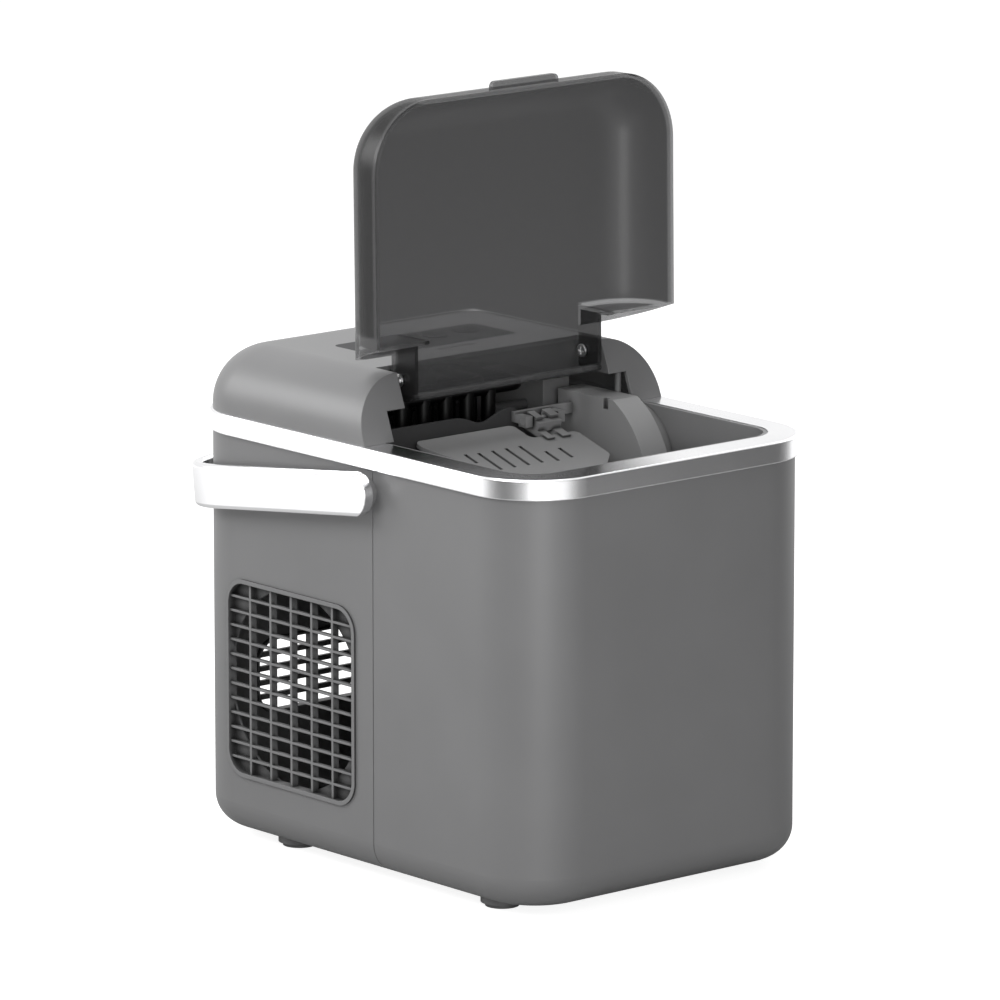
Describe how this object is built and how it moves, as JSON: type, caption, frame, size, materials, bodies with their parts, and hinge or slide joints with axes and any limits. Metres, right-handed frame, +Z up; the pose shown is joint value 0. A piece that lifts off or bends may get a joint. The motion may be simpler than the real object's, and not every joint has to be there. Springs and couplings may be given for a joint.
{
  "type": "ice maker",
  "caption": "Countertop ice maker with a grey rounded housing, chrome trim ring, bail carry handle and an open smoked lid over the ice bin.",
  "frame": {"origin": "on the floor under the middle of the part, measured with the lid open and the handle down", "axes": "+Z up, +Y towards the back, +X to the right seen from the front"},
  "size_m": [0.242, 0.3102, 0.4422],
  "materials": {
    "housing_grey": "fine satin moulded",
    "chrome": "polished plated",
    "panel_dark": "satin overlay",
    "smoked_clear": "clear smoked gloss",
    "chamber_grey": "satin moulded",
    "steel": "turned",
    "bright_metal": "plated",
    "fin_aluminium": "bare fins",
    "foot_rubber": "matt",
    "hose_rubber": "soft",
    "motor_black": "black",
    "board_green": "lacquered"
  },
  "bodies": {
    "housing": {"front_shell": "housing_grey", "rear_shell": "housing_grey", "top_cover": "housing_grey", "left_grille": "housing_grey", "right_grille": "housing_grey", "rear_grille": "housing_grey", "trim_ring": "chrome", "handle_pivots": "housing_grey", "control_panel": "panel_dark", "control_board": "board_green", "lid_pins": "steel", "feet": "foot_rubber", "base_plate": "steel", "inner_liner": "chamber_grey", "drive_housing": "chamber_grey", "splash_guard": "chamber_grey", "tray_bearing": "chamber_grey", "tray_motor": "chamber_grey", "evaporator": "bright_metal", "shovel_pin": "chamber_grey", "compressor": "motor_black", "compressor_mounts": "foot_rubber", "condenser": "fin_aluminium", "fan_shroud": "motor_black", "fan_motor": "motor_black", "water_pump": "motor_black", "water_hose": "hose_rubber", "cord_gland": "motor_black", "drain_plug": "foot_rubber", "drain_tube": "hose_rubber"},
    "lid": {"lid": "smoked_clear"},
    "handle": {"handle": "chrome"},
    "fan": {"fan_blades": "motor_black"},
    "tray": {"water_tray": "chamber_grey"},
    "shovel": {"ice_shovel": "chamber_grey"},
    "basket": {"ice_basket": "chamber_grey"},
    "key_1": {"key_1": "panel_dark"},
    "key_2": {"key_2": "panel_dark"},
    "key_3": {"key_3": "panel_dark"},
    "key_4": {"key_4": "panel_dark"}
  },
  "joints": [
    {"name": "lid_hinge", "type": "hinge", "parent": "housing", "child": "lid", "pos_m": [0, 0.00163, 0.2766], "axis": [1, 0, 0], "range_deg": [0, 90.8]},
    {"name": "handle_pivot", "type": "hinge", "parent": "housing", "child": "handle", "pos_m": [0, -0.01837, 0.2223], "axis": [1, 0, 0], "range_deg": [0, 76]},
    {"name": "fan_spin", "type": "hinge", "parent": "housing", "child": "fan", "pos_m": [0.096, 0.04863, 0.0975], "axis": [1, 0, 0], "continuous": true},
    {"name": "tray_tilt", "type": "hinge", "parent": "housing", "child": "tray", "pos_m": [0, 0.04513, 0.24], "axis": [-1, 0, 0], "range_deg": [0, 70]},
    {"name": "shovel_swing", "type": "hinge", "parent": "housing", "child": "shovel", "pos_m": [0.03, 0.00313, 0.241], "axis": [-1, 0, 0], "range_deg": [0, 14]},
    {"name": "basket_lift", "type": "slide", "parent": "housing", "child": "basket", "axis": [0, 0, 1], "range_m": [0, 0.1]},
    {"name": "key_1_press", "type": "slide", "parent": "housing", "child": "key_1", "axis": [0, 0, -1], "range_m": [0, 0.0008], "stiffness_N_per_m": 400},
    {"name": "key_2_press", "type": "slide", "parent": "housing", "child": "key_2", "axis": [0, 0, -1], "range_m": [0, 0.0008], "stiffness_N_per_m": 400},
    {"name": "key_3_press", "type": "slide", "parent": "housing", "child": "key_3", "axis": [0, 0, -1], "range_m": [0, 0.0008], "stiffness_N_per_m": 400},
    {"name": "key_4_press", "type": "slide", "parent": "housing", "child": "key_4", "axis": [0, 0, -1], "range_m": [0, 0.0008], "stiffness_N_per_m": 400}
  ],
  "couplings": [
    {"joint": "shovel_swing", "follows": "tray_tilt", "ratio": 0.2}
  ]
}
